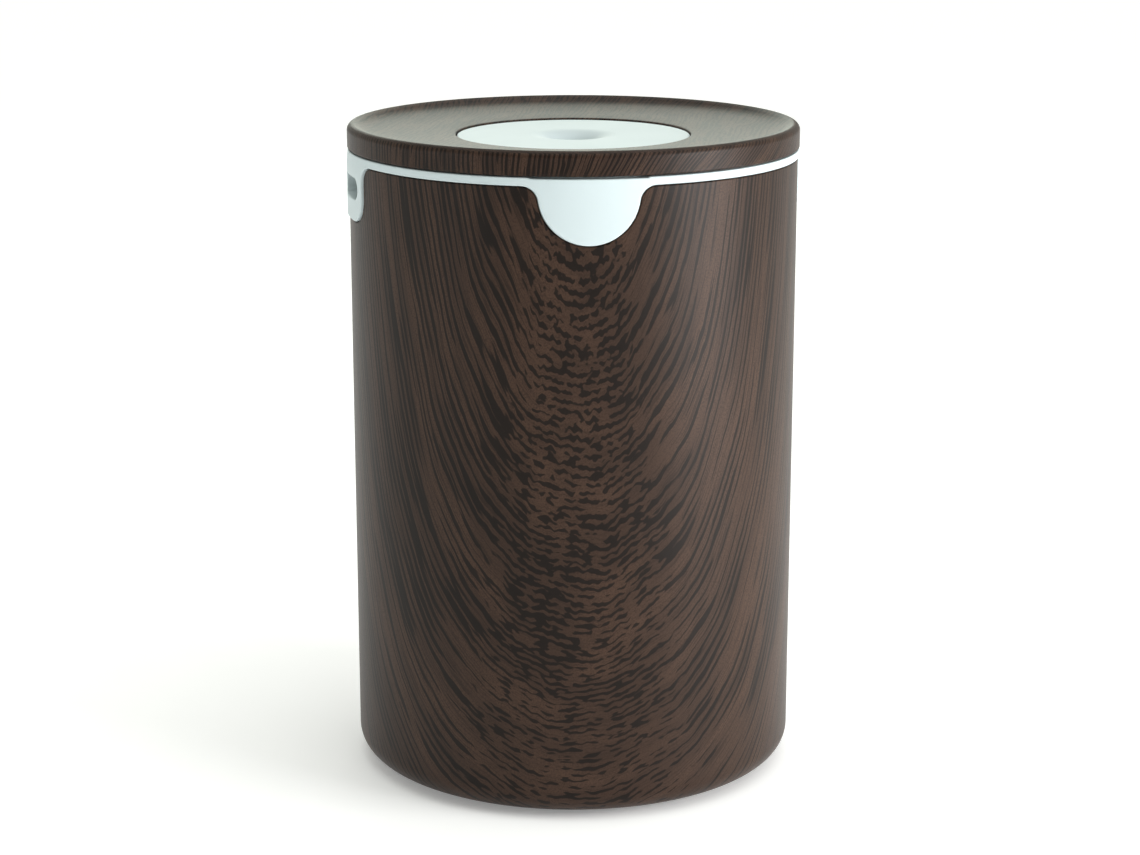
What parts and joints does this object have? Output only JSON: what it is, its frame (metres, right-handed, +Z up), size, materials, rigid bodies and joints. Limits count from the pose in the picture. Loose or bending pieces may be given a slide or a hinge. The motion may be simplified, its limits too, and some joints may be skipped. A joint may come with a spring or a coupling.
{
  "type": "cool mist humidifier",
  "caption": "Cylindrical table-top ultrasonic humidifier: wood-look shell and dished lid, white lift-out top-fill tank with finger slots.",
  "frame": {"origin": "on the floor under the centre of the round body", "axes": "+Z up along the body, the front half-round tab faces -Y, the DC jack and the button are at +Y"},
  "size_m": [0.1726, 0.172, 0.2505],
  "materials": {
    "wood_look_plastic": "satin, dark wenge wood-grain film",
    "white_plastic": "satin, slightly cool white",
    "inner_white_plastic": "fine moulded texture",
    "black_plastic": "moulded",
    "foot_rubber": "matt",
    "silicone": "matt translucent",
    "filter_foam": "open-cell foam",
    "steel": "zinc plated",
    "brass": "plain",
    "aluminium": "satin",
    "circuit_board": "solder mask",
    "copper_winding": "enamelled copper wire",
    "wire_grey": "insulation",
    "wire_red": "insulation"
  },
  "bodies": {
    "base": {"outer_shell": "wood_look_plastic", "base_deck": "inner_white_plastic", "duct_hood": "inner_white_plastic", "float_cap": "inner_white_plastic", "base_plate": "black_plastic", "fan_housing": "black_plastic", "dc_jack": "black_plastic", "tact_switch": "black_plastic", "reed_switch": "black_plastic", "foot_1": "foot_rubber", "foot_2": "foot_rubber", "foot_3": "foot_rubber", "foot_4": "foot_rubber", "transducer_seal": "silicone", "air_filter": "filter_foam", "base_plate_screw_1": "steel", "base_plate_screw_2": "steel", "base_plate_screw_3": "steel", "base_plate_screw_4": "steel", "fan_screw_1": "steel", "fan_screw_2": "steel", "transducer_screw_1": "steel", "transducer_screw_2": "steel", "board_screw_1": "steel", "board_screw_2": "steel", "fan_bearing": "brass", "transducer_disc": "brass", "jack_pin": "brass", "transducer_holder": "aluminium", "heat_sink": "aluminium", "driver_board": "circuit_board", "rear_board": "circuit_board", "fan_motor": "copper_winding", "driver_coil": "copper_winding", "rear_board_lead": "wire_grey", "fan_lead": "wire_grey", "sensor_lead": "wire_grey", "transducer_lead": "wire_red"},
    "fan_wheel": {"fan_rotor": "black_plastic", "fan_shaft": "steel"},
    "power_button": {"power_button": "white_plastic"},
    "water_float": {"water_float": "white_plastic", "float_magnet": "steel"},
    "tank": {"tank_body": "white_plastic", "tank_rim": "white_plastic", "left_grip": "white_plastic", "right_grip": "white_plastic", "left_finger_cup": "white_plastic", "right_finger_cup": "white_plastic", "mist_chimney": "white_plastic", "chimney_nut": "white_plastic", "chimney_seal": "silicone"},
    "valve_cap": {"valve_cap": "inner_white_plastic", "cap_seal": "silicone", "valve_spring": "steel"},
    "valve_plunger": {"valve_plunger": "white_plastic", "valve_seal": "silicone"},
    "lid": {"lid_dish": "wood_look_plastic", "lid_liner": "inner_white_plastic"},
    "nozzle": {"nozzle_insert": "white_plastic"}
  },
  "joints": [
    {"name": "tank_lift", "type": "slide", "parent": "base", "child": "tank", "axis": [0, 0, 1], "range_m": [0, 0.18]},
    {"name": "lid_lift", "type": "slide", "parent": "tank", "child": "lid", "axis": [0, 0, 1], "range_m": [0, 0.05]},
    {"name": "nozzle_lift", "type": "slide", "parent": "lid", "child": "nozzle", "axis": [0, 0, 1], "range_m": [0, 0.03]},
    {"name": "fan_spin", "type": "hinge", "parent": "base", "child": "fan_wheel", "pos_m": [-0.042, 0, 0.0174], "axis": [0, 0, 1], "continuous": true},
    {"name": "button_press", "type": "slide", "parent": "base", "child": "power_button", "axis": [0, -1, 0], "range_m": [0, 0.0012], "stiffness_N_per_m": 1500},
    {"name": "float_rise", "type": "slide", "parent": "base", "child": "water_float", "axis": [0, 0, 1], "range_m": [0, 0.0095]},
    {"name": "cap_turn", "type": "hinge", "parent": "tank", "child": "valve_cap", "pos_m": [0.044, 0, 0.078], "axis": [0, 0, 1], "range_deg": [0, 90]},
    {"name": "plunger_slide", "type": "slide", "parent": "valve_cap", "child": "valve_plunger", "axis": [0, 0, 1], "range_m": [-0.004, 0], "deforming": ["valve_spring"]}
  ],
  "couplings": [
    {"joint": "plunger_slide", "follows": "tank_lift", "ratio": -0.022}
  ]
}
